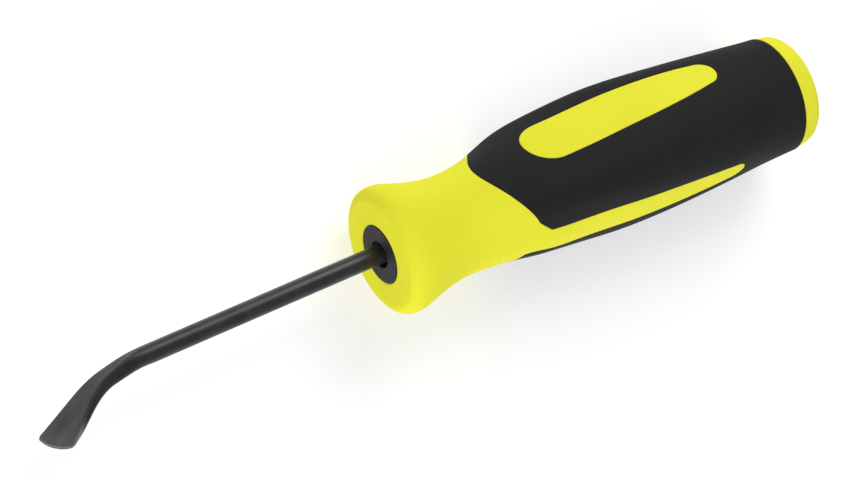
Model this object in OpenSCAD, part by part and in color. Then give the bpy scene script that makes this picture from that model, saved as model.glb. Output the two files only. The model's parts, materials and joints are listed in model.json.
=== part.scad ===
// Seal removal tool: a steel rod forged into a bent fan-shaped blade,
// moulded into a three-lobed handle with a hard shell and a soft grip.
// The tool lies as it rests on a bench: a striped side of the handle is down.
// Along the tool, x runs from the handle's nose face (0) to its butt.

/* [Handle] */
// Length of the handle from nose face to butt face
handle_l = 122.5; // [118:0.5:130]
// Radius of the flared bell at the nose
bell_r = 16.1; // [15.4:0.1:17]
// Rounding between the nose face and the bell
bell_edge_r = 3; // [2:0.1:4]
// Radius of the arc over the top of the bell
bell_crown_r = 6; // [4:0.5:9]
// Distance from the nose face to the narrow waist
waist_x = 21; // [19:0.5:23]
// Radius of the round waist
waist_r = 12.8; // [12:0.1:13.6]
// Distance from the nose face to the start of the lobes
throat_x = 30; // [28:0.5:32]
// Distance from the nose face to the front shoulder of the lobes
shoulder_x = 42; // [40:0.5:45]
// Distance from the nose face to the tightest lobes
palm_x = 54; // [51:0.5:58]
// Distance from the nose face to the fattest section
belly_x = 70; // [66:0.5:74]
// Distance from the nose face to the rear section of the lobes
heel_x = 90; // [86:0.5:94]
// Radius over a lobe at the fattest section
belly_crest_r = 19.4; // [18.4:0.1:20.4]
// Distance from the axis to a flat side at the fattest section
belly_flat_r = 15.1; // [14.8:0.1:15.8]
// Radius of the round butt where the grip ends
butt_r = 14.8; // [14.2:0.1:15.2]
// Length of the bare butt cap behind the grip
cap_l = 6.3; // [5:0.1:8]
// Radius of the flat butt face
cap_face_r = 9.7; // [8:0.1:11]

/* [Soft grip] */
// Thickness of the soft grip
grip_t = 1.6; // [1.2:0.1:2.2]
// Depth of the bare panels below the grip's surface
panel_sink = 0.15; // [0.1:0.05:0.6]
// Distance from the nose face to the front end of the window
window_x = 41.9; // [41:0.1:46]
// Half the greatest width of the window
window_half_w = 7.45; // [6.2:0.05:7.8]
// Turn of window and stripes off the middle of their sides
panel_turn = 2; // [0:0.5:3]
// Half the greatest width of a stripe
stripe_half_w = 6.85; // [5.6:0.05:7.4]
// Distance from the nose face to the rear end of window and stripes
panel_end_x = 98.2; // [94:0.2:104]
// Radius of the front edge of the grip, seen from the side
front_arc_r = 18.6; // [18.3:0.1:19.4]
// Distance from the nose face to the centre of that front arc
front_arc_x = 19; // [18.6:0.1:20]
// Distance of that centre below the handle's axis
front_arc_drop = 3.9; // [3.5:0.1:4.1]
// Distance from the nose face to the lower lobe's front edge
chin_x = 32.5; // [31:0.5:35]

/* [Core] */
// Radius of the dark core seen as a disc in the nose
core_r = 7.5; // [6.5:0.1:8.5]
// Length of the core inside the handle
core_l = 92; // [84:1:100]
// Depth of the core's face below the nose face
core_sink = 0.3; // [0.1:0.1:0.8]
// Gap round the rod at the core's mouth
mouth_gap = 0.9; // [0.5:0.1:1.3]
// Depth of the open ring round the rod
mouth_depth = 3; // [2:0.5:5]

/* [Blade] */
// Diameter of the round rod
rod_d = 4.6; // [4.4:0.05:5.2]
// Lean of the rod from the handle's axis towards the bend
rod_lean = 0.9; // [0:0.1:1.2]
// Length of the rod held inside the handle
tang_l = 80; // [60:1:82]
// Straight rod from the nose face to the start of the bend
reach = 66.8; // [55:0.1:90]
// Length of the bend along the rod's centre line
bend_l = 20; // [14:0.1:30]
// Angle of the bend
bend_a = 37.2; // [20:0.1:45]
// Length of the blade from the end of the bend to its tip
fan_l = 10.3; // [8:0.1:16]
// Half the width of the blade at its tip
fan_half_w = 10.1; // [7:0.1:12]
// Radius of the curved cutting edge
fan_edge_r = 43; // [24:1:60]
// Radius of the two rounded corners of the tip
fan_corner_r = 1.6; // [0.5:0.1:3]
// Height of the blade's flat face above the rod's centre line
face_h = 1.45; // [1.2:0.05:2]
// Thickness of the blade at its cutting edge
fan_tip_t = 0.7; // [0.6:0.1:1.2]
// Distance past the start of the bend at which the forging begins
forge_x = 0.5; // [0.5:0.1:3]
// Length over which the round rod turns into a flat face over a rounded back
forge_l = 7; // [4:0.5:10]
// Turn of the bend round the rod, from the window's opposite side
bend_turn = 30; // [0:5:60]

/* [Hidden] */

// Turn that lays a striped side on the bench
rest_turn = -60;
// Number of points round the handle and round the rod
around = 48;
rod_around = 28;
// Number of steps between two sections of the handle
steps = 3;
// Number of steps in one rounded end
arc_steps = 12;
eps = 0.01;
// Small step that keeps two joined surfaces from running into each other
seam = 0.02;

// The grip ends where the butt cap begins
grip_end_x = handle_l - cap_l;
// The grip's sleeve starts just ahead of the foremost point of its edge
sleeve_x = waist_x + 4;
// Length by which a cut runs past what it cuts
over = 1;
// Reach of the cuts from the axis, past the handle's skin
reach_out = belly_crest_r + 5;

// Sections of the handle: place, radius over a lobe, distance to a flat side,
// and radius of the lobe's own rounding. The waist and the butt are round.
crest_rise = belly_crest_r - waist_r;
flat_rise = belly_flat_r - waist_r;
SECTIONS = [
    [waist_x, waist_r, waist_r, 7],
    [throat_x, waist_r + 0.18 * crest_rise, waist_r + 0.17 * flat_rise, 7.2],
    [shoulder_x, waist_r + 0.7 * crest_rise, waist_r + 0.52 * flat_rise, 5.6],
    [palm_x, waist_r + 0.91 * crest_rise, waist_r + 0.65 * flat_rise, 6.1],
    [belly_x, belly_crest_r, belly_flat_r, 8.6],
    [heel_x, butt_r + 0.63 * (belly_crest_r - butt_r), belly_flat_r + 0.1, 12.5],
    [grip_end_x, butt_r, butt_r, 13.5]
];
last = len(SECTIONS) - 1;

// Slope of one column of the sections at section i: level at the waist
function slope(c, i) =
    i == 0 ? 0
    : i == last ? (SECTIONS[i][c] - SECTIONS[i - 1][c]) / (SECTIONS[i][0] - SECTIONS[i - 1][0])
    : (SECTIONS[i + 1][c] - SECTIONS[i - 1][c]) / (SECTIONS[i + 1][0] - SECTIONS[i - 1][0]);

// Smooth curve through one column of the sections, from section i to the next
function blend(c, i, t, h) =
    (2 * t^3 - 3 * t^2 + 1) * SECTIONS[i][c]
    + (t^3 - 2 * t^2 + t) * h * slope(c, i)
    + (3 * t^2 - 2 * t^3) * SECTIONS[i + 1][c]
    + (t^3 - t^2) * h * slope(c, i + 1);

function span_at(x, i = 0) = i >= last - 1 || x <= SECTIONS[i + 1][0] ? i : span_at(x, i + 1);
function column(c, x) =
    let (i = span_at(x), h = SECTIONS[i + 1][0] - SECTIONS[i][0])
    blend(c, i, (x - SECTIONS[i][0]) / h, h);

// Ring of points of a three-lobed section at x, moved inwards by inset.
// Each lobe is an arc of radius corner, joined by wide tangent arcs for the sides.
// Point k has the direction 360 * k / around as its outward normal, so
// every ring shares its directions with the others and with its own offsets.
function section_ring(x, inset) =
    let (
        corner = column(3, x),
        lobe_c = max(column(1, x) - corner, eps),
        side_a = column(2, x) - corner,
        side_c = (lobe_c^2 - side_a^2) / (2 * side_a - lobe_c),
        side_r = column(2, x) + side_c,
        half_span = atan2(side_c * sin(60), lobe_c + side_c * cos(60))
    )
    [for (k = [0:around - 1])
        let (
            dir = 360 * k / around,
            // Lobes point to 30, 150 and 270 degrees, sides to 90, 210 and 330
            lobe = 30 + 120 * round((dir - 30) / 120),
            side = 90 + 120 * round((dir - 90) / 120),
            on_lobe = abs(dir - lobe) <= half_span,
            centre = on_lobe ? lobe_c * [cos(lobe), sin(lobe)] : -side_c * [cos(side), sin(side)],
            r = (on_lobe ? corner : side_r) - inset
        )
        [x, centre[0] + r * cos(dir), centre[1] + r * sin(dir)]];

// Places of the rings from a to b, with the given number of steps in each span
// and no ring closer than ring_gap to either end
ring_gap = 1;
function ring_places(a, b) = [
    a,
    for (i = [0:last - 1], s = [0:steps - 1])
        let (x = SECTIONS[i][0] + (SECTIONS[i + 1][0] - SECTIONS[i][0]) * s / steps)
        if (x > a + ring_gap && x < b - ring_gap) x,
    b
];

// Triangles between ring i and ring i + 1 of n points each
function wall_faces(rings, n) = [
    for (i = [0:rings - 2], k = [0:n - 1])
        let (a = i * n + k, b = i * n + (k + 1) % n, c = a + n, d = b + n)
        each [[a, d, b], [a, c, d]]
];

// Triangles that close a ring whose first point is first, in strips across it
function cap_faces(first, n, flip = false) = [
    for (k = [0:n / 2 - 1])
        let (a = first + k, b = a + 1, c = first + (n - k) % n, d = first + n - k - 1)
        each [
            if (k < n / 2 - 1) flip ? [a, b, d] : [a, d, b],
            if (k > 0) flip ? [a, d, c] : [a, c, d]
        ]
];

// Solid through a list of rings, closed by its first and last ring
module loft(rings) {
    n = len(rings[0]);
    m = len(rings);
    polyhedron(
        [for (ring = rings) each ring],
        concat(wall_faces(m, n), cap_faces(0, n, true), cap_faces((m - 1) * n, n))
    );
}

// Three-lobed solid from a to b, its surface lowered by inset
module lobed(a, b, inset) {
    loft([for (x = ring_places(a, b)) section_ring(x, inset)]);
}

// Half width of a bare panel at x: full as far as taper_x, then tapering
// convexly towards a point behind its rounded rear end
taper_x = palm_x + 2;
taper_end_x = panel_end_x + 4.3;
taper_power = 2.2;
function panel_half_w(x, w) =
    w * sqrt(1 - pow(max(x - taper_x, 0) / (taper_end_x - taper_x), taper_power));
tip_l = 4;
tip_x = panel_end_x - tip_l;

// One side of a panel's outline, from the front to the rounded tip
function panel_side(x0, w) = concat(
    [for (s = [0:arc_steps]) let (x = x0 + (tip_x - x0) * s / arc_steps) [x, panel_half_w(x, w)]],
    [for (s = [1:arc_steps]) let (a = 90 * s / arc_steps)
        [tip_x + tip_l * sin(a), panel_half_w(tip_x, w) * cos(a)]]
);
// The window has a round front end
window_side = concat(
    [for (s = [0:arc_steps - 1]) let (a = 90 * s / arc_steps)
        [window_x + window_half_w * (1 - cos(a)), window_half_w * sin(a)]],
    panel_side(window_x + window_half_w, window_half_w)
);
// A stripe starts ahead of the grip's front edge
stripe_lap = 3;
stripe_side = panel_side(front_arc_x + front_arc_r - stripe_lap, stripe_half_w);

function both_sides(side) = concat(
    side,
    [for (i = [len(side) - 1:-1:0]) if (side[i][1] > eps) [side[i][0], -side[i][1]]]
);

// Prism over a panel's outline, from inside the handle outwards
module panel_prism(side) {
    linear_extrude(reach_out)
        polygon(both_sides(side));
}

// Everything that the window and the two stripes leave bare
module panel_cut() {
    rotate([-panel_turn, 0, 0])
        panel_prism(window_side);
    for (turn = [120, -120])
        rotate([turn - panel_turn, 0, 0])
            panel_prism(stripe_side);
}

// Everything ahead of the grip's front edge. From the side, the edge over the
// two upper lobes is an arc, cut off at an angle where it meets a stripe, and
// from below, the edge of the third lobe is an arch.
cheek_z = 3.1;
corner_lead = 2.8;
corner_x = front_arc_x + front_arc_r + corner_lead;
corner_z = -0.9;
chin_l = 7;
chin_half_w = 10.2;
chin_end_x = chin_x + chin_l;
split_z = -9;
module front_cut() {
    rotate([-panel_turn, 0, 0]) {
        rotate([90, 0, 0])
            linear_extrude(2 * reach_out, center = true)
                difference() {
                    union() {
                        translate([front_arc_x, -front_arc_drop])
                            circle(front_arc_r, $fn = 96);
                        polygon([
                            [front_arc_x, split_z],
                            [corner_x, split_z],
                            [corner_x, corner_z],
                            [front_arc_x + sqrt(front_arc_r^2 - (cheek_z + front_arc_drop)^2), cheek_z],
                            [front_arc_x, cheek_z]
                        ]);
                    }
                    translate([0, split_z - reach_out])
                        square([2 * reach_out, reach_out]);
                }
        translate([0, 0, -reach_out])
            linear_extrude(reach_out + split_z + eps)
                difference() {
                    translate([0, -reach_out])
                        square([chin_end_x, 2 * reach_out]);
                    polygon([
                        [chin_end_x + over, -chin_half_w],
                        for (s = [-arc_steps:arc_steps]) let (a = 90 * s / arc_steps)
                            [chin_end_x - chin_l * cos(a), chin_half_w * sin(a)],
                        [chin_end_x + over, chin_half_w]
                    ]);
                }
    }
}

module grip() {
    color("#2b2a2d")
        in_place()
            difference() {
                lobed(sleeve_x, grip_end_x, 0);
                lobed(sleeve_x - over, grip_end_x + over, grip_t);
                panel_cut();
                front_cut();
            }
}

// Depth of the bare panels below the grip: none at the waist, full at the shoulder
function sink_at(x) =
    let (t = min((x - waist_x) / (shoulder_x - waist_x), 1))
    seam + (panel_sink - seam) * t^2 * (3 - 2 * t);

// Outline of the bell: nose edge, a short level stretch, crown and a flank that
// runs level into the waist
crown_gap = 1.2;
crown_x = bell_edge_r + crown_gap;
crown_a = 19;
flank_x = crown_x + bell_crown_r * sin(crown_a);
flank_r = bell_r - bell_crown_r * (1 - cos(crown_a));
module bell() {
    rotate([0, 90, 0])
        rotate_extrude($fn = 96)
            polygon([
                [0, 0],
                for (s = [0:arc_steps / 2]) let (a = 180 * s / arc_steps)
                    [bell_r - bell_edge_r * (1 - sin(a)), bell_edge_r * (1 - cos(a))],
                for (s = [0:arc_steps / 4]) let (a = 4 * crown_a * s / arc_steps)
                    [bell_r - bell_crown_r * (1 - cos(a)), crown_x + bell_crown_r * sin(a)],
                for (s = [1:arc_steps]) let (t = s / arc_steps)
                    [flank_r - (flank_r - waist_r) * sin(90 * t), flank_x + (waist_x - flank_x) * t],
                [0, waist_x]
            ]);
}

// Outline of the butt cap: a slight taper, then a round edge to the flat face
cap_taper = 0.6;
cap_round_l = 3.5;
module butt_cap() {
    rotate([0, 90, 0])
        rotate_extrude($fn = 96)
            polygon([
                [0, grip_end_x],
                [butt_r, grip_end_x],
                for (s = [0:arc_steps]) let (a = 90 * s / arc_steps)
                    [
                        cap_face_r + (butt_r - cap_taper - cap_face_r) * cos(a),
                        handle_l - cap_round_l * (1 - sin(a))
                    ],
                [0, handle_l]
            ]);
}

// The lands of the bare panels run on under the grip, past the panels' rear ends
land_end_x = (panel_end_x + grip_end_x) / 2;
module body() {
    color("#e3e534")
        in_place()
            difference() {
                union() {
                    bell();
                    lobed(waist_x, grip_end_x, grip_t);
                    butt_cap();
                    intersection() {
                        loft([for (x = ring_places(waist_x, land_end_x)) section_ring(x, sink_at(x))]);
                        union() {
                            panel_cut();
                            front_cut();
                        }
                    }
                }
                rotate([0, 90, 0])
                    cylinder(core_l, core_r, core_r, $fn = 96);
            }
}

// Turns a part drawn round the x axis, bending towards -y, onto the rod's line
module along_rod() {
    rotate([90 - bend_turn, 0, 0])
        rotate([0, 0, rod_lean])
            children();
}

// Cylinder round the rod's line from x = a to x = b
module round_rod(a, b, r) {
    along_rod()
        translate([a, 0, 0])
            rotate([0, 90, 0])
                cylinder(b - a, r, r, $fn = 48);
}

// The core is moulded round the rod, with an open ring at its mouth
module core() {
    color("#3a393b")
        in_place()
            difference() {
                translate([core_sink, 0, 0])
                    rotate([0, 90, 0])
                        cylinder(core_l - core_sink, core_r, core_r, $fn = 96);
                round_rod(-over, tang_l, rod_r);
                round_rod(-over, mouth_depth, rod_r + mouth_gap);
            }
}

rod_r = rod_d / 2;
bend_steps = 20;
fan_steps = 8;
corner_steps = 4;

function smooth(t) = let (u = min(max(t, 0), 1)) u^2 * (3 - 2 * u);

// Centre line through the bend in equal steps. Its angle grows smoothly from
// nothing to bend_a, so the curve is tightest in the middle of the bend.
bend_step_l = bend_l / bend_steps;
function bend_at(l) = bend_a * smooth(l / bend_l);
BEND = [
    for (i = 0, x = -reach, y = 0;
        i <= bend_steps;
        a = bend_at((i + 0.5) * bend_step_l),
        x = x - bend_step_l * cos(a),
        y = y - bend_step_l * sin(a),
        i = i + 1)
    [x, y]
];
// Point of the centre line at the distance l past the start of the bend
function centre_at(l) =
    let (
        i = min(max(floor(l / bend_step_l + eps), 0), bend_steps),
        rest = l - i * bend_step_l
    )
    BEND[i] - rest * [cos(bend_at(l)), sin(bend_at(l))];

// The forging: its share of the way to the tip, and how far its section has
// turned from the round rod into a flat face over a rounded back
forged_l = bend_l + fan_l;
spread_power = 0.7;
face_power = 12;
back_power = 4.5;
function share_at(l) = min(max((l - forge_x) / (forged_l - forge_x), 0), 1);
function turned_at(l) = smooth((l - forge_x) / forge_l);

// Half width at l. It spreads to the tip's width, less the tip's rounded corners.
function forged_half_w(l) =
    let (c = min(max((l - forged_l) / fan_corner_r + 1, 0), 1))
    rod_r + (fan_half_w - rod_r) * smooth(share_at(l)) * share_at(l)^spread_power
    - fan_corner_r * (1 - sqrt(1 - c^2));

// Point k of the section at l, across and above the centre line. It is a
// superellipse, almost square over the face and rounder at the back, and it
// starts a hair under the round rod's surface.
function forged_point(l, k) =
    let (
        a = 360 * k / rod_around,
        m = turned_at(l),
        hair = seam * (1 - m),
        w = forged_half_w(l) - hair,
        t = rod_d + (fan_tip_t - rod_d) * share_at(l) - 2 * hair,
        top = rod_r - hair + (face_h - rod_r) * m,
        power = 2 + ((sin(a) > eps ? face_power : back_power) - 2) * m
    )
    [
        w * sign(cos(a)) * pow(abs(cos(a)), 2 / power),
        top - t / 2 + t / 2 * sign(sin(a)) * pow(abs(sin(a)), 2 / power)
    ];

// Ring of the forging at l. Past the bend, the rings turn into the tip's arc.
function forged_ring(l) =
    let (
        a = bend_at(l),
        along = [-cos(a), -sin(a), 0],
        above = [-sin(a), cos(a), 0],
        centre = [centre_at(l)[0], centre_at(l)[1], 0],
        fan_share = max(l - bend_l, 0) / fan_l
    )
    [for (k = [0:rod_around - 1])
        let (
            p = forged_point(l, k),
            back = (fan_edge_r - sqrt(fan_edge_r^2 - p[0]^2)) * fan_share^3
        )
        centre - along * back + above * p[1] + [0, 0, p[0]]];

module shank() {
    color("#4a4b4d")
        in_place() {
            round_rod(-reach, tang_l, rod_r);
            along_rod()
                loft([
                    for (i = [-1:bend_steps]) forged_ring(i * bend_step_l),
                    for (i = [1:fan_steps]) forged_ring(bend_l + (fan_l - fan_corner_r) * i / fan_steps),
                    for (i = [1:corner_steps])
                        forged_ring(forged_l - fan_corner_r * (1 - sin(90 * i / corner_steps)))
                ]);
        }
}

// At rest the tool lies on its bell and on the grip's band behind the stripes
rest_behind = 5;
rest_x = panel_end_x + rest_behind;
nose_lift = atan((bell_r - column(2, rest_x)) / (rest_x - crown_x));
axis_z = bell_r * cos(nose_lift) + crown_x * sin(nose_lift);
tip = centre_at(forged_l);
tip_reach = tip[1] * sin(rod_lean) - tip[0] * cos(rod_lean) + face_h * sin(bend_a + rod_lean);
module in_place() {
    translate([(tip_reach - handle_l) / 2, 0, axis_z])
        rotate([rest_turn, nose_lift, 0])
            children();
}

shank();
core();
body();
grip();
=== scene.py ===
import json
import math

import bpy
import numpy as np
from mathutils import Matrix, Vector


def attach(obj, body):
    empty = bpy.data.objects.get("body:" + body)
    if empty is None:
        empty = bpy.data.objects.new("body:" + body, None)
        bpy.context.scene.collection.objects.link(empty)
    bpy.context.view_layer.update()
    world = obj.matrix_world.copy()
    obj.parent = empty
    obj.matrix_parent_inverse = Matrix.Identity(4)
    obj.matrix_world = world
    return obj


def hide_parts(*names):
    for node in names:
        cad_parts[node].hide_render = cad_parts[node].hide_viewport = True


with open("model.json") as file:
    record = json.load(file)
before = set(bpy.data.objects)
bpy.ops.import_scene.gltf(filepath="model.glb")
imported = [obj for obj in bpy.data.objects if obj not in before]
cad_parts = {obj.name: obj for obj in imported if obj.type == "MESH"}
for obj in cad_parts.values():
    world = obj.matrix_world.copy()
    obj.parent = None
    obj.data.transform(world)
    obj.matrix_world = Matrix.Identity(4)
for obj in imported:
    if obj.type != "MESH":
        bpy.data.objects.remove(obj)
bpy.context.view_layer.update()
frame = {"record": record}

# Rod and blade: one bar of dark steel. Its tang sits in the handle, and its
# free end is bent and forged into a fan with a flat face, a rounded back and a
# thin curved edge, where the dark finish is rubbed. Sizes are in millimetres.
MM = 0.001
# The handle, and how far the tool is rolled about its long axis, in degrees
handle_l = 122.5
rest_turn = -60.0
# The rod, and how it leans and bends out of the handle's axis
bend_turn = 30.0
rod_lean = 1.15
rod_shift = 0.17
rod_r = 2.43
tang_l = 80.0
reach = 67.2
bend_l = 19.5
bend_a = math.radians(36.8)
bend_samples = 2001
# The fan, and how the round bar turns into it
fan_l = 10.4
fan_half_w = 10.35
fan_edge_r = 43.0
fan_corner_r = 1.8
face_h = 1.15
fan_tip_t = 1.39
chisel_l = 7.0
chisel_t = 0.62
edge_round_l = 0.3
edge_round_reach = 1.02
forge_x = -3.0
forge_l = 11.0
spread_power = 0.96
face_share = 0.475
side_power = 3.0
ridge_power = 16
fan_dish = 0.12
dish_narrow = 1.3
dish_end_l = 6
dish_rise = 3
least_sine = 0.02
# Points of the mesh round the bar and along it
rod_around = 128
side_crowding = 0.3
tang_rows = 10
shaft_rows = 60
forged_rows = 130
tip_rows = 25
# Colours and roughness of the drawn bar, the forged end and the rubbed edge; the rubbed steel
# colour also paints reflections on the fan
oxide_deep = (0.017, 0.017, 0.019)
oxide_pale = (0.030, 0.030, 0.034)
scale_deep = (0.008, 0.008, 0.009)
scale_pale = (0.017, 0.017, 0.019)
rubbed_and_sheen_steel = (0.42, 0.42, 0.43)
drawn_rough = (0.28, 0.40)
hammered_rough = (0.50, 0.62)
forged_l = bend_l + fan_l
butt = next(m for m in frame["record"]["mounts"] if m["name"] == "butt_face")
butt_at = np.array(butt["pos_m"])
tool_dir = np.array(butt["axis"])
side_dir = np.array([0.0, 1.0, 0.0])
top_dir = np.cross(tool_dir, side_dir)


def in_place(points, turn):
    """Millimetres along and round the handle's axis to metres in the frame.

    The points are turned about the axis, and the axis runs through the middle
    of the butt face, along the normal of that face.
    """
    c, s = math.cos(math.radians(turn)), math.sin(math.radians(turn))
    x, y, z = np.moveaxis(np.asarray(points, float), -1, 0)
    along = ((x - handle_l) * MM)[..., None] * tool_dir
    side = ((y * c - z * s) * MM)[..., None] * side_dir
    top = ((y * s + z * c) * MM)[..., None] * top_dir
    return butt_at + along + side + top


def smooth(t):
    """Cubic step from 0 to 1 with level ends."""
    t = np.clip(t, 0.0, 1.0)
    return t * t * (3 - 2 * t)


def tube_faces(rows, around):
    """Quads between neighbouring rings of a closed tube.

    They face outwards when the rings turn by the right-hand rule about the way
    along the tube.
    """
    i, k = np.meshgrid(np.arange(rows - 1), np.arange(around), indexing="ij")
    a = i * around + k
    b = i * around + (k + 1) % around
    return np.stack([b, b + around, a + around, a], -1).reshape(-1, 4)


def make_piece(name, points, faces):
    """Mesh object from points in the frame and lists of faces, shaded smooth."""
    mesh = bpy.data.meshes.new(name)
    polys = [tuple(int(v) for v in f) for f in faces]
    mesh.from_pydata(np.asarray(points).reshape(-1, 3).tolist(), [], polys)
    mesh.validate()
    mesh.update()
    mesh.polygons.foreach_set("use_smooth", np.ones(len(mesh.polygons), bool))
    piece = bpy.data.objects.new(name, mesh)
    bpy.context.scene.collection.objects.link(piece)
    return piece


def centre_line(l):
    """Point and angle of the rod's centre line at l past the start of the bend.

    The angle grows as bend_a times a cubic step, so the curve is tightest in
    the middle of the bend. The point is the sum of small steps at that angle.
    """
    fine = np.linspace(0.0, bend_l, bend_samples)
    mid = bend_a * smooth((fine[1:] + fine[:-1]) / 2 / bend_l)
    steps = np.diff(fine)
    x = np.concatenate([[0.0], np.cumsum(np.cos(mid) * steps)])
    y = np.concatenate([[0.0], np.cumsum(np.sin(mid) * steps)])
    past = np.maximum(l - bend_l, 0.0)
    angle = bend_a * smooth(l / bend_l)
    run = np.interp(l, fine, x) + np.minimum(l, 0.0) + past * math.cos(bend_a)
    fall = np.interp(l, fine, y) + past * math.sin(bend_a)
    return -reach - run, -fall, angle


def forged_section(l, a):
    """Across and above the centre line, for distance l past the bend's start.

    The section is a superellipse in the direction a, cut off flat along the
    face. The cut starts at the round rod's top and goes down to face_share of
    its half height, while the section spreads and thins. The face is dished by
    a share that falls with the square of the distance from its middle. At the
    tip the corners follow an arc, and the edge is a quarter round.
    """
    share = np.clip((l - forge_x) / (forged_l - forge_x), 0.0, 1.0)
    m = smooth((l - forge_x) / forge_l)
    corner = np.clip((l - forged_l) / fan_corner_r + 1, 0.0, 1.0)
    w = rod_r + (fan_half_w - rod_r) * smooth(share) * share**spread_power
    w = w - fan_corner_r * (1 - np.sqrt(1 - corner**2))
    t = 2 * rod_r + (fan_tip_t - 2 * rod_r) * share
    t = t + (chisel_t - fan_tip_t) * smooth((l - forged_l) / chisel_l + 1)
    top = rod_r + (face_h - rod_r) * m
    cut = 1 + (face_share - 1) * m
    half = t / (1 + cut)
    power = 2 + (side_power - 2) * m
    size = (np.abs(np.cos(a)) ** power + np.abs(np.sin(a)) ** power) ** (-1 / power)
    limit = cut / np.maximum(np.sin(a), least_sine)
    size = (size**-ridge_power + limit**-ridge_power) ** (-1 / ridge_power)
    past_round = (l - forged_l + edge_round_l) / (edge_round_reach * edge_round_l)
    edge = np.sqrt(1 - np.clip(past_round, 0.0, 1.0) ** 2)
    across = w * np.cos(a) * size
    above = top - t / 2 + edge * (t / 2 - cut * half + half * np.sin(a) * size)
    middle = np.clip(1 - (across / w) ** 2 * dish_narrow, 0, 1)
    middle = middle * smooth((l - bend_l / 2) / bend_l)
    on_face = smooth(np.sin(a) * dish_rise)
    return across, above - fan_dish * middle * smooth((forged_l - l) / dish_end_l) * on_face


rod_rows = np.concatenate([
    np.linspace(-tang_l - reach, -reach, tang_rows)[:-1],
    np.linspace(-reach, 0, shaft_rows)[:-1],
    np.linspace(0, forged_l - fan_corner_r, forged_rows)[:-1],
    forged_l - fan_corner_r * (1 - np.sin(np.linspace(0, np.pi / 2, tip_rows))),
])
# Directions round the section, closest together where the face meets the sides
even_a = 2 * np.pi * np.arange(rod_around) / rod_around
around_a = even_a - side_crowding * np.sin(2 * even_a)
rod_l, rod_a = np.meshgrid(rod_rows, around_a, indexing="ij")
across, above = forged_section(rod_l, rod_a)
centre_x, centre_y, bent = centre_line(rod_l)
fan_share = np.maximum(rod_l - bend_l, 0) / fan_l
tip_back = (fan_edge_r - np.sqrt(fan_edge_r**2 - across**2)) * fan_share**3
rod_x = centre_x + tip_back * np.cos(bent) - above * np.sin(bent)
rod_y = centre_y + tip_back * np.sin(bent) + above * np.cos(bent)
lean = math.radians(rod_lean)
rod_points = np.stack([
    rod_x * math.cos(lean) - rod_y * math.sin(lean),
    rod_x * math.sin(lean) + rod_y * math.cos(lean) + rod_shift,
    across,
], -1)
rod_faces = [list(f) for f in tube_faces(len(rod_rows), rod_around)]
rod_faces.append(list(range(rod_around))[::-1])
# Strips across the thin end of the blade, from its face to its back
last_row = (len(rod_rows) - 1) * rod_around
for k in range(rod_around // 2):
    low_k = (rod_around - k) % rod_around
    strip = [k, low_k, (low_k - 1) % rod_around, k + 1]
    rod_faces.append([last_row + v for i, v in enumerate(strip) if v not in strip[:i]][::-1])
shank = make_piece(
    "rod_and_blade",
    in_place(rod_points, rest_turn + 90 - bend_turn),
    rod_faces,
)

# How worn each point is, and where reflections are painted in: bright wear where
# the face meets the edge and the sides, a painted reflection in grey on the lower
# part of the sides, and a faint painted reflection on the face that grows towards
# the tip. A second value says how far the drawn bar has turned into hammered steel.
wear_and_sheen_from = 0.1
wear_and_sheen_rise = 1.6
ridge_wear = 0.6
ridge_wear_w = 0.25
tip_wear = 0.55
tip_wear_w = 0.18
# A painted reflection: the face gets a little lighter towards the tip
face_sheen = 0.06
face_sheen_from = 0.8
face_sheen_rise = 2
# A painted reflection of the table: grey on the lower part of the fan's sides
side_sheen = 0.45
side_sheen_end_l = 1.5
side_sheen_drop = 0.15
side_sheen_drop_rise = 6
side_sheen_share = 0.82
side_sheen_share_rise = 8
hammered_x = -6
hammered_l = 14
row_w = np.abs(across).max(axis=1, keepdims=True)
row_top = above.max(axis=1, keepdims=True)
side_gap = np.hypot(row_w - np.abs(across), above - row_top)
tip_gap = np.hypot(forged_l - edge_round_l - rod_l, above - row_top)
low_part = smooth((fan_share - wear_and_sheen_from) * wear_and_sheen_rise)
side_wall = smooth((np.abs(across) / row_w - side_sheen_share) * side_sheen_share_rise)
side_wall = side_wall * smooth((row_top - above - side_sheen_drop) * side_sheen_drop_rise)
side_end = smooth((forged_l - rod_l) / side_sheen_end_l)
wear_and_sheen = ridge_wear * np.exp(-side_gap / ridge_wear_w) * low_part
wear_and_sheen = np.maximum(wear_and_sheen, tip_wear * np.exp(-tip_gap / tip_wear_w) * (rod_l > bend_l))
# The painted reflection on the face, lighter towards the tip
wear_and_sheen = np.maximum(wear_and_sheen, face_sheen * smooth(fan_share * face_sheen_rise - face_sheen_from))
# The painted reflection in grey on the lower part of the sides
wear_and_sheen = np.maximum(wear_and_sheen, side_sheen * side_wall * low_part * side_end)
wear_and_sheen_attr = shank.data.attributes.new("wear_and_sheen", "FLOAT", "POINT")
wear_and_sheen_attr.data.foreach_set("value", wear_and_sheen.ravel().astype(np.float32))
forged = smooth((rod_l - hammered_x) / hammered_l)
forged_attr = shank.data.attributes.new("forged", "FLOAT", "POINT")
forged_attr.data.foreach_set("value", forged.ravel().astype(np.float32))


def node_material(name, **sockets):
    """Principled material with plain values set on the shader's own sockets."""
    material = bpy.data.materials.new(name)
    material.use_nodes = True
    shader = material.node_tree.nodes["Principled BSDF"]
    for key, value in sockets.items():
        shader.inputs[key.replace("_", " ")].default_value = value
    return material, material.node_tree, shader


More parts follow.
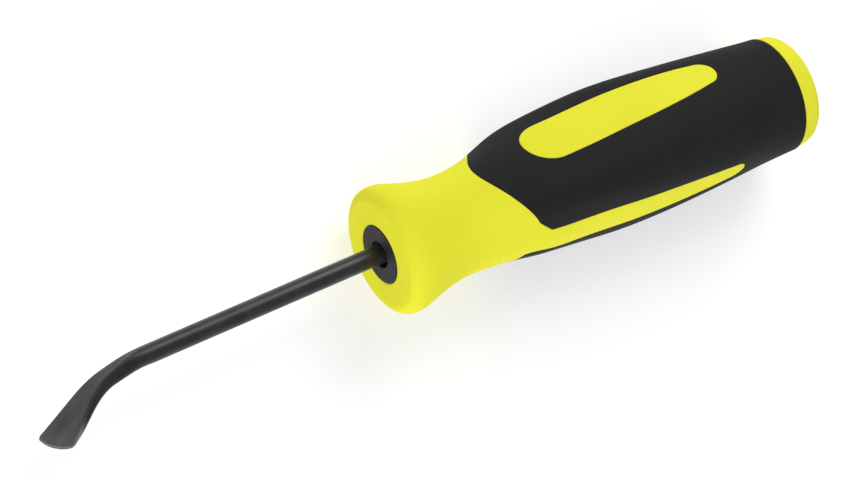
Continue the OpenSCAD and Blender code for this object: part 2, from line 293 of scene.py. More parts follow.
def noise_node(tree, scale, detail, axis_scale=(1, 1, 1)):
    """Noise on Object coordinates, drawn out along an axis whose own scale is below 1."""
    coords = tree.nodes.new("ShaderNodeTexCoord")
    mapping = tree.nodes.new("ShaderNodeMapping")
    mapping.inputs["Scale"].default_value = axis_scale
    noise = tree.nodes.new("ShaderNodeTexNoise")
    noise.inputs["Scale"].default_value = scale
    noise.inputs["Detail"].default_value = detail
    noise.inputs["Roughness"].default_value = 0.5
    tree.links.new(coords.outputs["Object"], mapping.inputs["Vector"])
    tree.links.new(mapping.outputs["Vector"], noise.inputs["Vector"])
    return noise.outputs["Fac"]


def ramp_node(tree, source, first, last, start=0.3, end=0.7):
    """Ramp from a first to a last grey or colour, as the source goes from start to end."""
    ramp = tree.nodes.new("ShaderNodeValToRGB")
    for element, place, value in zip(ramp.color_ramp.elements, (start, end), (first, last)):
        rgb = value if isinstance(value, tuple) else (value, value, value)
        element.position = place
        element.color = (*rgb, 1.0)
    tree.links.new(source, ramp.inputs["Fac"])
    return ramp.outputs["Color"]


def bump_node(tree, height, distance, strength, under=None):
    """Bump from a height, in metres, over an earlier bump if one is given."""
    bump = tree.nodes.new("ShaderNodeBump")
    bump.inputs["Distance"].default_value = distance
    bump.inputs["Strength"].default_value = strength
    tree.links.new(height, bump.inputs["Height"])
    if under is not None:
        tree.links.new(under, bump.inputs["Normal"])
    return bump.outputs["Normal"]


def mix_color(tree, fac, a, b):
    """Mix of two colours or links, from a to b as the factor's link goes from 0 to 1."""
    mix = tree.nodes.new("ShaderNodeMix")
    mix.data_type = "RGBA"
    # The colour sockets of this node are the seventh and the eighth
    tree.links.new(fac, mix.inputs[0])
    for socket, value in ((mix.inputs[6], a), (mix.inputs[7], b)):
        if isinstance(value, tuple):
            socket.default_value = (*value, 1.0)
        else:
            tree.links.new(value, socket)
    return mix.outputs[2]


steel, tree, shader = node_material("dark_steel", Metallic=0.2, Specular_IOR_Level=0.38)
cloudy = noise_node(tree, scale=140.0, detail=5.0)
streaks = noise_node(tree, scale=220.0, detail=4.0, axis_scale=(0.12, 1.0, 1.0))
oxide = ramp_node(tree, cloudy, oxide_deep, oxide_pale)
scale = ramp_node(tree, cloudy, scale_deep, scale_pale)
forged_node = tree.nodes.new("ShaderNodeAttribute")
forged_node.attribute_name = "forged"
dark_color = mix_color(tree, forged_node.outputs["Fac"], oxide, scale)
wear_and_sheen_node = tree.nodes.new("ShaderNodeAttribute")
wear_and_sheen_node.attribute_name = "wear_and_sheen"
# Rubbed edges and painted reflections both mix in the bright steel
steel_color = mix_color(tree, wear_and_sheen_node.outputs["Fac"], dark_color, rubbed_and_sheen_steel)
tree.links.new(steel_color, shader.inputs["Base Color"])
drawn = ramp_node(tree, streaks, *drawn_rough)
hammered = ramp_node(tree, streaks, *hammered_rough)
steel_rough = mix_color(tree, forged_node.outputs["Fac"], drawn, hammered)
tree.links.new(steel_rough, shader.inputs["Roughness"])
fine = noise_node(tree, scale=900.0, detail=3.0)
steel_bump = bump_node(tree, streaks, distance=0.00012, strength=0.35)
steel_bump = bump_node(tree, fine, distance=0.00004, strength=0.4, under=steel_bump)
tree.links.new(steel_bump, shader.inputs["Normal"])
shank.data.materials.append(steel)
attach(shank, "root")
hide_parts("shank")

# Core: the plug of dark hard plastic moulded round the tang. Only its end shows,
# as a disc a hair proud of the nose, with an open ring round the rod at its mouth.
core_r = 7.5
core_l = 92.0
core_rise = 0.15
core_gap = 0.05
core_edge_r = 0.25
core_end_r = 0.3
core_end_gap = 0.1
core_end_flat = 0.6
mouth_gap = 1.0
mouth_depth = 3.0
mouth_edge_r = 0.25
mouth_edge_gap = 0.35
mouth_floor_r = 0.3
bore_start_x = 1.0
# Outlines stop this far from the axis, and their straight lines this far from
# the rounds next to them, so that the shading turns over the rounds alone
axis_r = 0.3
shade_gap = 0.5
# Points round the handle, from the direction of its lowest lobe when the window is up
around = 156
first_lobe = math.radians(270)
core_deep = (0.0175, 0.0155, 0.0185)
core_pale = (0.0245, 0.0220, 0.0260)


def turned(profile):
    """Rings of points and outward normals of an outline (x, r) turned round the axis.

    Each ring starts at the first lobe's direction. The normal is the outline's
    direction turned by a right angle, for an outline that runs with the outside
    on its left.
    """
    profile = np.asarray(profile, float)
    a = first_lobe + 2 * np.pi * np.arange(around) / around
    step = np.gradient(profile, axis=0)
    out = np.stack([-step[:, 1], step[:, 0]], -1)
    out /= np.linalg.norm(out, axis=1, keepdims=True) + 1e-12
    c, s = np.cos(a)[None, :], np.sin(a)[None, :]
    x, r = profile[:, :1] + 0 * c, profile[:, 1:]
    points = np.stack([x, r * c, r * s], -1)
    normals = np.stack([out[:, :1] + 0 * c, out[:, 1:] * c, out[:, 1:] * s], -1)
    return points, normals


def arc(cx, cr, r, a, b, n):
    """Points of an arc in the (x, r) half-plane, from angle a to angle b."""
    t = np.radians(np.linspace(a, b, n))
    return np.stack([cx + r * np.cos(t), cr + r * np.sin(t)], -1)


def line(a, b, n):
    """n points from a to b, both ends included."""
    return np.linspace(np.array(a, float), np.array(b, float), n)


mouth_r = rod_r + mouth_gap
seat_r = core_r - core_gap
core_profile = np.concatenate([
    line((mouth_depth, axis_r), (mouth_depth, mouth_r - mouth_floor_r), 4),
    arc(mouth_depth - mouth_floor_r, mouth_r - mouth_floor_r, mouth_floor_r, 0, 90, 5)[1:],
    line((mouth_depth - shade_gap, mouth_r), (-core_rise + mouth_edge_gap, mouth_r), 4),
    arc(-core_rise + mouth_edge_r, mouth_r + mouth_edge_r, mouth_edge_r, 270, 180, 6),
    line((-core_rise, mouth_r + shade_gap), (-core_rise, seat_r - shade_gap), 10),
    arc(-core_rise + core_edge_r, seat_r - core_edge_r, core_edge_r, 180, 90, 6),
    line((bore_start_x, seat_r), (core_l - core_end_r, seat_r), 24),
    arc(core_l - core_end_gap - core_end_r, seat_r - core_end_r, core_end_r, 90, 0, 5),
    line((core_l - core_end_gap, core_r - core_end_flat), (core_l - core_end_gap, axis_r), 8),
])


def closed_turning(profile):
    """Turned outline as points and faces, with both ends closed by a disc."""
    points, _ = turned(profile)
    rows, n = points.shape[:2]
    faces = [list(f) for f in tube_faces(rows, n)]
    faces.append(list(range(n))[::-1])
    faces.append([(rows - 1) * n + k for k in range(n)])
    return points.reshape(-1, 3), faces


def dress_normals(piece, normals):
    """Sets a piece's smooth normals to those of its surface, given in the handle's axes."""
    world = in_place(np.asarray(normals), rest_turn) - in_place(np.zeros(3), rest_turn)
    world /= np.linalg.norm(world, axis=1, keepdims=True) + 1e-12
    piece.data.normals_split_custom_set_from_vertices(world.tolist())


core_points, core_faces = closed_turning(core_profile)
core = make_piece("core_plug", in_place(core_points, rest_turn), core_faces)
dark_plastic, tree, shader = node_material(
    "dark_core_plastic", Roughness=0.5, Specular_IOR_Level=0.15,
)
grain = noise_node(tree, scale=500.0, detail=4.0)
tree.links.new(ramp_node(tree, grain, core_deep, core_pale), shader.inputs["Base Color"])
core_bump = bump_node(tree, grain, distance=0.00006, strength=0.5)
tree.links.new(core_bump, shader.inputs["Normal"])
core.data.materials.append(dark_plastic)
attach(core, "root")
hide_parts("core")

# Body: the hard yellow shell, moulded in one piece from the flared bell at the
# nose to the round butt. Its window and stripes stand up almost flush with the
# grip, and the rest of it lies in a well under the grip.
# Bell, waist and butt
bell_r = 16.1
bell_edge_r = 3.0
bell_crown_gap = 1.2
bell_crown_r = 6.0
crown_a = 19.0
mouth_round_r = 0.3
waist_x = 21.0
waist_r = 12.8
throat_x = 30.0
shoulder_x = 42.0
palm_x = 54.0
belly_x = 70.0
heel_x = 90.0
belly_crest_r = 19.4
belly_flat_r = 15.1
butt_r = 14.8
cap_l = 6.3
cap_face_r = 9.7
cap_face_gap = 0.7
cap_round_l = 3.5
cap_taper = 0.6
cap_edge_r = 0.2
cap_wall_foot = 1.2
cap_wall_top = 0.25
# The well under the grip, and how far the lands in it lie below the skin
grip_t = 1.6
grip_clearance = 0.01
panel_sink = 0.10
waist_sink = 0.02
well_t = grip_t + grip_clearance
land_edge = 0.16
lip_r = 0.3
# Window and stripes
window_x = 41.9
window_half_w = 7.3
panel_turn = math.radians(2.5)
stripe_half_w = 6.2
stripe_turn = math.radians(117.8)
stripe_pinch = 3.6
pinch_x = 48.0
pinch_l = 13.0
panel_end_x = 98.2
taper_gap = 2
taper_past = 2.3
taper_l = panel_end_x - palm_x + taper_past
taper_power = 2.2
tip_l = 4.0
tip_x = panel_end_x - tip_l
far_side_weight = 4
# Front edge of the grip
front_turn = math.radians(1.1)
front_arc_r = 18.75
front_arc_x = 19.0
front_arc_drop = 3.9
chin_x = 32.5
cheek_z = 3.1
corner_past = 2.8
corner_x = front_arc_x + front_arc_r + corner_past
corner_z = -1.05
chin_l = 7.0
chin_half_w = 15.0
split_z = -4.0
# Sections of the lobed handle
grip_end_x = handle_l - cap_l
third = 2 * math.pi / 3
crest_rise = belly_crest_r - waist_r
flat_rise = belly_flat_r - waist_r
# Place, radius over a lobe, distance to a flat side and the lobe's own radius
SECTIONS = np.array([
    [waist_x, waist_r, waist_r, 7.0],
    [throat_x, waist_r + 0.18 * crest_rise, waist_r + 0.17 * flat_rise, 7.2],
    [shoulder_x, waist_r + 0.715 * crest_rise, waist_r + 0.52 * flat_rise, 6.1],
    [palm_x, waist_r + 0.925 * crest_rise, waist_r + 0.65 * flat_rise, 6.8],
    [belly_x, belly_crest_r, belly_flat_r, 9.6],
    [heel_x, butt_r + 0.63 * (belly_crest_r - butt_r), belly_flat_r + 0.1, 12.5],
    [grip_end_x, butt_r, butt_r, 13.5],
])
yellow_deep = (0.785, 0.768, 0.037)
yellow_pale = (0.815, 0.798, 0.044)
# Turn from the window's middle, half width, and whether the front end is round
# (1) or open to the yellow ahead of the grip (0)
PANELS = (
    (0, window_half_w, 1),
    (stripe_turn, stripe_half_w, 0),
    (-stripe_turn, stripe_half_w, 0),
)
# Steps for slopes, and the limits within which slopes and distances are trusted
small_dx = 0.02
small_du = 0.0002
slope_least = 0.001
slope_most = 1.05
far_most = 6


def column(c, x):
    """Cubic curve through one column of the sections.

    It leaves the waist level and has the slope of the chord between the
    neighbouring sections everywhere else.
    """
    xs, vs = SECTIONS[:, 0], SECTIONS[:, c]
    slope = np.zeros_like(vs)
    slope[1:-1] = (vs[2:] - vs[:-2]) / (xs[2:] - xs[:-2])
    slope[-1] = (vs[-1] - vs[-2]) / (xs[-1] - xs[-2])
    i = np.clip(np.searchsorted(xs, x, side="right") - 1, 0, len(xs) - 2)
    h = xs[i + 1] - xs[i]
    t = (x - xs[i]) / h
    rise = (2 * t**3 - 3 * t**2 + 1) * vs[i] + (3 * t**2 - 2 * t**3) * vs[i + 1]
    return rise + h * ((t**3 - 2 * t**2 + t) * slope[i] + (t**3 - t**2) * slope[i + 1])


def section_arcs(x):
    """Radii and centres of a three-lobed section.

    Each lobe is an arc of radius corner, joined to its neighbours by wide
    tangent arcs. half is the angle from a lobe's middle to where the wide arc
    takes over.
    """
    corner = column(3, x)
    lobe_c = np.maximum(column(1, x) - corner, 0.01)
    side_a = column(2, x) - corner
    side_c = np.maximum((lobe_c**2 - side_a**2) / (2 * side_a - lobe_c), 0.0)
    half = np.arctan2(side_c * math.sin(third / 2), lobe_c + side_c * math.cos(third / 2))
    return corner, lobe_c, side_c, column(2, x) + side_c, half


def direction(x, u):
    """Direction of the skin's normal at share u of the girth at x.

    The direction is the length gone round the lobe or side, divided by its
    radius, so that even steps of u are even steps of length.
    """
    corner, _, _, side_r, half = section_arcs(x)
    lobe_l, side_l = corner * half, side_r * (third - 2 * half)
    girth = 2 * lobe_l + side_l
    s = (u * 3 % 1) * girth
    near = s / corner
    wide = half + (s - lobe_l) / side_r
    far = third - (girth - s) / corner
    turn = np.where(s < lobe_l, near, np.where(s < girth - lobe_l, wide, far))
    return first_lobe + np.floor(u * 3) * third + turn


def skin(x, a, inset=0.0):
    """Points of the handle's skin at x whose section normal has direction a.

    A point is the centre of its lobe's or side's arc plus the arc's radius in
    the direction a, less inset.
    """
    corner, lobe_c, side_c, side_r, half = section_arcs(x)
    lobe = first_lobe + third * np.round((a - first_lobe) / third)
    side = first_lobe + third * (np.floor((a - first_lobe) / third) + 0.5)
    on_lobe = np.abs(a - lobe) <= half
    centre_y = np.where(on_lobe, lobe_c * np.cos(lobe), -side_c * np.cos(side))
    centre_z = np.where(on_lobe, lobe_c * np.sin(lobe), -side_c * np.sin(side))
    r = np.where(on_lobe, corner, side_r) - inset
    return np.stack([x + 0 * a, centre_y + r * np.cos(a), centre_z + r * np.sin(a)], -1)


def skin_normal(x, a):
    """Outward normal of the skin.

    It is the section's normal, tipped by how fast the distance from the axis to
    the tangent plane grows along x.
    """
    c, s = np.cos(a), np.sin(a)
    p, q = skin(x + small_dx, a), skin(x - small_dx, a)
    tip = ((p - q)[..., 1] * c + (p - q)[..., 2] * s) / (2 * small_dx)
    n = np.stack([-tip, c, s], -1)
    return n / np.linalg.norm(n, axis=-1, keepdims=True)


def outline_fields(p):
    """Fields that are below zero in a bare area and zero on its outline.

    They are, over points of the skin, the window, the two stripes and all ahead
    of the grip. A panel is (across / half width)^2 + (end share)^2 - 1. Its half
    width tapers towards the butt, and a stripe's low side is pinched towards
    the nose. The front is, from the side, a disc joined to a cut corner, and
    from below what an arch leaves, all turned a little about the axis.
    """
    x, y, z = p[..., 0], p[..., 1], p[..., 2]
    taper = np.clip(np.minimum(x, tip_x) - palm_x - taper_gap, 0, None) / taper_l
    rear = np.clip(x - tip_x, 0, None) / tip_l
    fields = []
    for turn, width, round_end in PANELS:
        c, s = math.cos(turn - panel_turn), math.sin(turn - panel_turn)
        side, up = y * c + z * s, z * c - y * s
        half_w = width * np.sqrt(1 - taper**taper_power)
        low_side = side * np.sign(turn) < 0
        half_w = half_w - stripe_pinch * smooth((pinch_x - x) / pinch_l) * low_side
        ahead = round_end * np.clip(window_x + width - x, 0, None) / width
        across_2 = side**2 + far_side_weight * np.minimum(up, 0) ** 2
        fields.append(across_2 / half_w**2 + rear**2 + ahead**2 - 1)
    c, s = math.cos(-front_turn), math.sin(-front_turn)
    low_y, low_z = y * c + z * s, z * c - y * s
    disc = np.hypot(x - front_arc_x, low_z + front_arc_drop) - front_arc_r
    cheek_x = front_arc_x + math.sqrt(front_arc_r**2 - (cheek_z + front_arc_drop) ** 2)
    cut_dx, cut_dz = cheek_z - corner_z, corner_x - cheek_x
    cut = ((x - corner_x) * cut_dx + (low_z - corner_z) * cut_dz) / math.hypot(cut_dx, cut_dz)
    corner = np.maximum(np.maximum(x - corner_x, cut), low_z - cheek_z)
    chin_end = chin_x + chin_l
    arch = chin_l * (1 - np.hypot((x - chin_end) / chin_l, low_y / chin_half_w))
    cheek, chin = np.minimum(disc, corner), np.maximum(x - chin_end, arch)
    fields.append(np.where(low_z > split_z, cheek, chin))
    return np.stack(fields)


def edge_distance(x, u):
    """Distance over the skin from the nearest outline, and the way there.

    The distance is in mm and below zero in the bare areas. The unit vector
    points along the skin away from them. Each field is divided by the length of
    its gradient over the skin, found from small steps along x and round the girth.
    """
    p = skin(x, direction(x, u))
    px = (skin(x + small_dx, direction(x + small_dx, u)) - p) / small_dx
    pu = (skin(x, direction(x, u + small_du)) - p) / small_du
    f = outline_fields(p)
    fx = (outline_fields(p + px * small_dx) - f) / small_dx
    fu = (outline_fields(p + pu * small_du) - f) / small_du
    e, m, g = (px * px).sum(-1), (px * pu).sum(-1), (pu * pu).sum(-1)
    det = e * g - m * m
    along, round_ = (g * fx - m * fu) / det, (e * fu - m * fx) / det
    slope = np.sqrt(np.maximum(along * fx + round_ * fu, 0))
    far = np.clip(f / np.clip(slope, slope_least, slope_most), -far_most, far_most)
    nearest = far.argmin(0)[None]
    far, along, round_ = (np.take_along_axis(v, nearest, 0)[0] for v in (far, along, round_))
    away = along[..., None] * px + round_[..., None] * pu
    return far, away / (np.linalg.norm(away, axis=-1, keepdims=True) + 1e-9)


def split_along(params, faces, values, level):
    """Cuts triangles where their values cross a level, so that edges run along it.

    A crossed edge gets one new point, placed in proportion to its two values.
    A value within snap_gap of the level counts as on it.
    """
    values = np.where(np.abs(values - level) < snap_gap, level, values)
    s = values - level
    sign = np.sign(s)[faces]
    crossed = (sign.min(1) < 0) & (sign.max(1) > 0)
    keep, cut, sign = faces[~crossed], faces[crossed], sign[crossed]
    # Each triangle is turned so that the point alone on its side, or the one on
    # the level, comes first
    total = sign.sum(1, keepdims=True)
    first = np.where(total == 0, sign == 0, sign == -np.sign(total)).argmax(1)
    cut = np.take_along_axis(cut, (first[:, None] + np.arange(3)) % 3, 1)
    on_level = (total == 0)[:, 0]
    a, b, c = cut.T
    pairs = np.concatenate([
        np.stack([a, b], 1)[~on_level],
        np.stack([a, c], 1)[~on_level],
        np.stack([b, c], 1)[on_level],
    ])
    pairs.sort(axis=1)
    pairs, which = np.unique(pairs, axis=0, return_inverse=True)
    which = which.ravel() + len(params)
    p, q = pairs.T
    t = (s[p] / (s[p] - s[q]))[:, None]
    params = np.concatenate([params, params[p] * (1 - t) + params[q] * t])
    values = np.concatenate([values, np.full(len(p), float(level))])
    n, m = (~on_level).sum(), on_level.sum()
    ab, ac, bc = which[:n], which[n:2 * n], which[2 * n:]
    a1, b1, c1 = a[~on_level], b[~on_level], c[~on_level]
    a2, b2, c2 = a[on_level], b[on_level], c[on_level]
    new = [(a1, ab, ac), (ab, b1, c1), (ab, c1, ac), (a2, b2, bc), (a2, bc, c2)]
    return params, np.concatenate([keep] + [np.stack(f, 1) for f in new]), values


# One fine net over the sleeve, cut along the outlines and along lines beside
# them, where the edges of the shell's lands and of the grip are rounded
snap_gap = 0.004
weld_digits = 7
cut_levels = (0.0, 0.04, 0.11, 0.2, lip_r, 0.6, -0.03, -0.08, -land_edge, -0.4)
rear_levels = np.array([0.6, lip_r, 0.17, 0.08, 0.03, 0.0])
rear_band_l = 1.0
net_rows = 150
net_x = np.concatenate([
    np.linspace(waist_x, grip_end_x - rear_band_l, net_rows),
    grip_end_x - rear_levels,
])
net_u = np.arange(around + 1) / around
grid_x, grid_u = np.meshgrid(net_x, net_u, indexing="ij")
i, k = np.meshgrid(np.arange(len(net_x) - 1), np.arange(around), indexing="ij")
corner_a = (i * (around + 1) + k).ravel()
corner_b, corner_c = corner_a + 1, corner_a + around + 1
corner_d = corner_c + 1
net_faces = np.concatenate([
    np.stack([corner_a, corner_d, corner_c], 1),
    np.stack([corner_a, corner_b, corner_d], 1),
])
net_params = np.stack([grid_x.ravel(), grid_u.ravel()], 1)
net_far, _ = edge_distance(*net_params.T)
for level in cut_levels:
    net_params, net_faces, net_far = split_along(net_params, net_faces, net_far, level)
# The seam's two columns become one
_, weld_to, weld_from = np.unique(
    np.round(np.stack([net_params[:, 0], net_params[:, 1] % 1.0], 1), weld_digits),
    axis=0, return_index=True, return_inverse=True,
)
net_params, net_far = net_params[weld_to], net_far[weld_to]
net_faces = weld_from.ravel()[net_faces]
net_x, net_u = net_params.T
net_dir = direction(net_x, net_u)
_, net_away = edge_distance(net_x, net_u)
net_normal = skin_normal(net_x, net_dir)
face_far = net_far[net_faces]
over = face_far.max(1) > 1e-9
bare_faces, grip_faces = net_faces[~over], net_faces[over]


def rounded(share):
    """Drop and tilt of a quarter-round edge at a share of its radius from its side.

    With s the share left to the end of the round, the drop is 1 - sqrt(1 - s^2)
    and the sine of the tilt is s.
    """
    s = np.clip(1 - share, 0.0, 1.0)
    return 1 - np.sqrt(1 - s * s), s


def rim(faces):
    """Edges that only one of the triangles uses, in that triangle's direction."""
    edges = np.concatenate([faces[:, [0, 1]], faces[:, [1, 2]], faces[:, [2, 0]]])
    _, where, count = np.unique(
        np.sort(edges, 1), axis=0, return_inverse=True, return_counts=True,
    )
    return edges[count[where.ravel()] == 1]


def blend_normals(normals, away, tilt):
    """Normals tipped towards a direction, with tilt as the sine of the angle."""
    mixed = normals * np.sqrt(1 - tilt**2)[:, None] + away * tilt[:, None]
    return mixed / np.linalg.norm(mixed, axis=1, keepdims=True)


def compact(points, normals, faces):
    """Merges points that lie together and drops those that no face uses.

    Points are the same when they agree after rounding to merge_digits.
    """
    _, keep, where = np.unique(
        np.round(points, merge_digits), axis=0, return_index=True, return_inverse=True,
    )
    where = where.ravel()
    faces = [[int(where[v]) for v in f] for f in faces]
    faces = [[v for j, v in enumerate(f) if v != f[j - 1]] for f in faces]
    faces = [f for f in faces if len(f) > 2]
    used = np.unique(np.concatenate([np.array(f) for f in faces]))
    renumber = np.full(len(keep), -1)
    renumber[used] = np.arange(len(used))
    faces = [[int(renumber[v]) for v in f] for f in faces]
    return points[keep][used], normals[keep][used], faces


def skirt(edges):
    """Quads from edges of the upper of two surfaces down to the same edges below."""
    a, b = edges.T
    return [list(f) for f in np.stack([b, a, a + n_net, b + n_net], 1)]


n_net = len(net_x)
merge_digits = 4
sink = waist_sink + (panel_sink - waist_sink) * smooth((net_x - waist_x) / (shoulder_x - waist_x))
drop, tilt = rounded(-net_far / land_edge)
land_points = skin(net_x, net_dir, sink + land_edge * drop)
land_normals = blend_normals(net_normal, net_away, tilt * (net_far <= 0))
well_points = skin(net_x, net_dir, well_t)
# Walls go down from the lands to the well, but not at the waist, where the bell
# joins on
waist_clear = 0.5
wall = rim(bare_faces)
wall = wall[net_x[wall].min(1) > waist_x + waist_clear]

# The bell's outline runs from the bottom of the bore over the nose to the waist
crown_x = bell_edge_r + bell_crown_gap
flank_x = crown_x + bell_crown_r * math.sin(math.radians(crown_a))
flank_r = bell_r - bell_crown_r * (1 - math.cos(math.radians(crown_a)))
flank_t = np.linspace(0, 1, 28)
bell_profile = np.concatenate([
    line((core_l, axis_r), (core_l, core_r), 8),
    line((core_l - shade_gap, core_r), (bore_start_x, core_r), 30),
    arc(mouth_round_r, core_r + mouth_round_r, mouth_round_r, 270, 180, 6),
    line((0, core_r + mouth_round_r + shade_gap), (0, bell_r - bell_edge_r - shade_gap), 9),
    arc(bell_edge_r, bell_r - bell_edge_r, bell_edge_r, 180, 90, 20),
    arc(crown_x, bell_r - bell_crown_r, bell_crown_r, 90, 90 - crown_a, 10),
    np.stack([
        flank_x + (waist_x - flank_x) * flank_t,
        flank_r - (flank_r - waist_r + waist_sink) * np.sin(np.pi / 2 * flank_t),
    ], -1)[1:],
])
bell_points, bell_normals = turned(bell_profile)
# The cap's outline runs from the well's end over the round edge to the butt face
cap_t = np.radians(np.linspace(0, 90, 30))
cap_profile = np.concatenate([
    [(grip_end_x, butt_r - well_t)],
    line((grip_end_x, butt_r - cap_wall_foot), (grip_end_x, butt_r - cap_wall_top), 4),
    arc(grip_end_x + cap_edge_r, butt_r - cap_edge_r, cap_edge_r, 180, 95, 6),
    np.stack([
        handle_l - cap_round_l * (1 - np.sin(cap_t)),
        cap_face_r + (butt_r - cap_taper - cap_face_r) * np.cos(cap_t),
    ], -1),
    line((handle_l, cap_face_r - cap_face_gap), (handle_l, axis_r), 10),
])
cap_points, cap_normals = turned(cap_profile)
n_bell = bell_points.shape[0] * around
n_cap = cap_points.shape[0] * around
body_points = np.concatenate([
    land_points, well_points, bell_points.reshape(-1, 3), cap_points.reshape(-1, 3),
])
body_normals = np.concatenate([
    land_normals, net_normal, bell_normals.reshape(-1, 3), cap_normals.reshape(-1, 3),
])
bell_first, cap_first = 2 * n_net, 2 * n_net + n_bell
body_faces = [list(f) for f in bare_faces] + [list(f + n_net) for f in grip_faces]
body_faces += skirt(wall)
for first, rings in ((bell_first, bell_points), (cap_first, cap_points)):
    body_faces += [list(f + first) for f in tube_faces(rings.shape[0], around)]
body_faces.append([bell_first + k for k in range(around)][::-1])
body_faces.append([cap_first + n_cap - around + k for k in range(around)])
body_points, body_normals, body_faces = compact(body_points, body_normals, body_faces)
body = make_piece("handle_shell", in_place(body_points, rest_turn), body_faces)
dress_normals(body, body_normals)
yellow, tree, shader = node_material(
    "yellow_shell_plastic", Roughness=0.55, Specular_IOR_Level=0.03,
)
tone = noise_node(tree, scale=45.0, detail=2.0)
tree.links.new(ramp_node(tree, tone, yellow_deep, yellow_pale), shader.inputs["Base Color"])
peel = noise_node(tree, scale=650.0, detail=2.0)
pores = noise_node(tree, scale=2600.0, detail=3.0)
yellow_bump = bump_node(tree, peel, distance=0.00004, strength=0.25)
yellow_bump = bump_node(tree, pores, distance=0.00001, strength=0.3, under=yellow_bump)
tree.links.new(yellow_bump, shader.inputs["Normal"])
body.data.materials.append(yellow)
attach(body, "root")
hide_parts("body")

# Grip: the black soft skin moulded over the shell. It leaves the window and
# the two stripes bare, and its edges are rounded where they meet the shell.
rear_slit = 0.02
rubber_deep = (0.0130, 0.0125, 0.0133)
rubber_pale = (0.0160, 0.0155, 0.0165)
rubber_rough = (0.68, 0.76)
at_rear = net_x > grip_end_x - rear_slit / 2
rear_gap = grip_end_x - rear_slit - net_x
rear_first = rear_gap < net_far
grip_far = np.where(rear_first, np.maximum(rear_gap, 0), net_far)
grip_away = np.where(rear_first[:, None], np.array([[-1.0, 0.0, 0.0]]), net_away)
drop, tilt = rounded(grip_far / lip_r)
grip_top = skin(net_x - rear_slit * rear_first * at_rear, net_dir, lip_r * drop)
grip_under = skin(net_x - rear_slit * at_rear, net_dir, grip_t)
grip_mesh_faces = [list(f) for f in grip_faces] + [list(f[::-1] + n_net) for f in grip_faces]
grip_mesh_faces += skirt(rim(grip_faces))
grip_points, grip_normals, grip_mesh_faces = compact(
    np.concatenate([grip_top, grip_under]),
    np.concatenate([blend_normals(net_normal, -grip_away, tilt), -net_normal]),
    grip_mesh_faces,
)
grip = make_piece("soft_grip_skin", in_place(grip_points, rest_turn), grip_mesh_faces)
dress_normals(grip, grip_normals)
rubber, tree, shader = node_material(
    "black_grip_rubber", Roughness=0.7, Specular_IOR_Level=0.12,
)
rubber_tone = noise_node(tree, scale=60.0, detail=3.0)
rubber_color = ramp_node(tree, rubber_tone, rubber_deep, rubber_pale)
tree.links.new(rubber_color, shader.inputs["Base Color"])
tree.links.new(ramp_node(tree, rubber_tone, *rubber_rough), shader.inputs["Roughness"])
rubber_grain = noise_node(tree, scale=1800.0, detail=3.0)
rubber_wave = noise_node(tree, scale=160.0, detail=2.0)
rubber_bump = bump_node(tree, rubber_wave, distance=0.00010, strength=0.12)
rubber_bump = bump_node(tree, rubber_grain, distance=0.00003, strength=0.45, under=rubber_bump)
tree.links.new(rubber_bump, shader.inputs["Normal"])
grip.data.materials.append(rubber)
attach(grip, "root")
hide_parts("grip")

# Stage: a plain table of white paper with the tool's own soft shadow on it. For
# the camera and in reflections the paper glows a little, so that it comes out
# white, and the glow lights nothing.
table_half = 3
paper_white = (0.8, 0.8, 0.81, 1.0)
paper_glow = 0.31
glow_tint = (1.0, 0.985, 1.03, 1.0)
corners = ((-1, -1), (1, -1), (1, 1), (-1, 1))
floor_mesh = bpy.data.meshes.new("floor")
floor_mesh.from_pydata(
    [(table_half * x, table_half * y, 0.0) for x, y in corners], [], [(0, 1, 2, 3)],
)
floor = bpy.data.objects.new("floor", floor_mesh)
bpy.context.scene.collection.objects.link(floor)
paper, tree, shader = node_material(
    "white_paper",
    Base_Color=paper_white,
    Roughness=0.9,
    Specular_IOR_Level=0.1,
    Emission_Color=glow_tint,
)
paths = tree.nodes.new("ShaderNodeLightPath")
seen = paths.outputs["Is Camera Ray"]
for ray in ("Is Glossy Ray", "Is Transmission Ray"):
    either = tree.nodes.new("ShaderNodeMath")
    either.operation = "MAXIMUM"
    tree.links.new(seen, either.inputs[0])
    tree.links.new(paths.outputs[ray], either.inputs[1])
    seen = either.outputs[0]
glow = tree.nodes.new("ShaderNodeMath")
glow.operation = "MULTIPLY"
glow.inputs[1].default_value = paper_glow
tree.links.new(seen, glow.inputs[0])
tree.links.new(glow.outputs[0], shader.inputs["Emission Strength"])
floor_mesh.materials.append(paper)

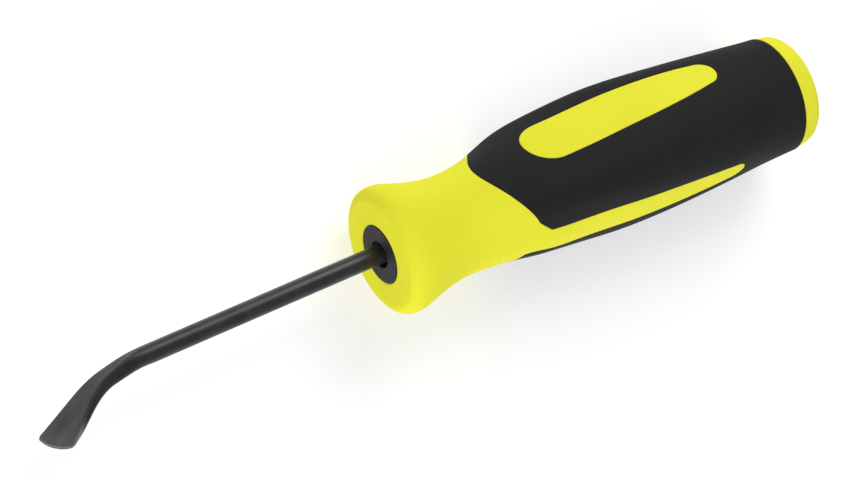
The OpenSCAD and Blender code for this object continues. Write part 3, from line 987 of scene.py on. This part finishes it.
# Light: a white room that is brightest at the horizon, a softbox beyond the tool
# on the picture's right, and a fill from the near left that casts no shadow
room_strength = 1.05
horizon_grey = 1.0
ceiling_grey = 0.3
ceiling_z = 0.7
lamp_aim = (0, 0, 0.016)
world = bpy.data.worlds.new("soft_room")
bpy.context.scene.world = world
world.use_nodes = True
room = world.node_tree.nodes["Background"]
sky = world.node_tree.nodes.new("ShaderNodeTexCoord")
height = world.node_tree.nodes.new("ShaderNodeSeparateXYZ")
world.node_tree.links.new(sky.outputs["Generated"], height.inputs["Vector"])
dome = ramp_node(
    world.node_tree, height.outputs["Z"], horizon_grey, ceiling_grey, 0.0, ceiling_z,
)
world.node_tree.links.new(dome, room.inputs["Color"])
room.inputs["Strength"].default_value = room_strength


def soft_lamp(name, place, size, power, shadow=True):
    """Rectangular lamp at a place in metres, facing the tool."""
    data = bpy.data.lights.new(name, "AREA")
    data.shape = "RECTANGLE"
    data.size, data.size_y = size
    data.energy = power
    data.use_shadow = shadow
    lamp = bpy.data.objects.new(name, data)
    bpy.context.scene.collection.objects.link(lamp)
    lamp.location = place
    lamp.rotation_euler = (Vector(lamp_aim) - Vector(place)).to_track_quat("-Z", "Y").to_euler()


soft_lamp("main_softbox", place=(0.55, 0.95, 0.85), size=(0.8, 0.85), power=9.3)
soft_lamp("front_fill", place=(-0.6, -0.7, 0.6), size=(1.0, 0.8), power=7.6, shadow=False)

# Camera: a long lens at the photograph's angle to the tool, ahead of the blade,
# to one side and above. Its place and directions are in the handle's own axes, in
# millimetres, with the window up.
camera_place = (-452.545, -710.4, 671.46)
camera_forward = (0.431, 0.655, -0.621)
camera_up = (0.341, 0.519, 0.784)
camera_lens = 188.1
sensor_w = 36.0
camera_data = bpy.data.cameras.new("camera")
camera_data.lens = camera_lens
camera_data.sensor_width = sensor_w
camera_data.clip_start = 0.05
camera_data.clip_end = 20.0
camera = bpy.data.objects.new("camera", camera_data)
bpy.context.scene.collection.objects.link(camera)
origin = in_place(np.zeros(3), rest_turn)
forward = Vector(in_place(np.array(camera_forward), rest_turn) - origin).normalized()
up = Vector(in_place(np.array(camera_up), rest_turn) - origin).normalized()
right = forward.cross(up).normalized()
up = right.cross(forward)
turn = Matrix((right, up, -forward)).transposed()
camera.rotation_euler = turn.to_euler()
camera.location = in_place(np.array(camera_place), rest_turn)
bpy.context.scene.camera = camera

bpy.context.scene.view_settings.view_transform = "Standard"
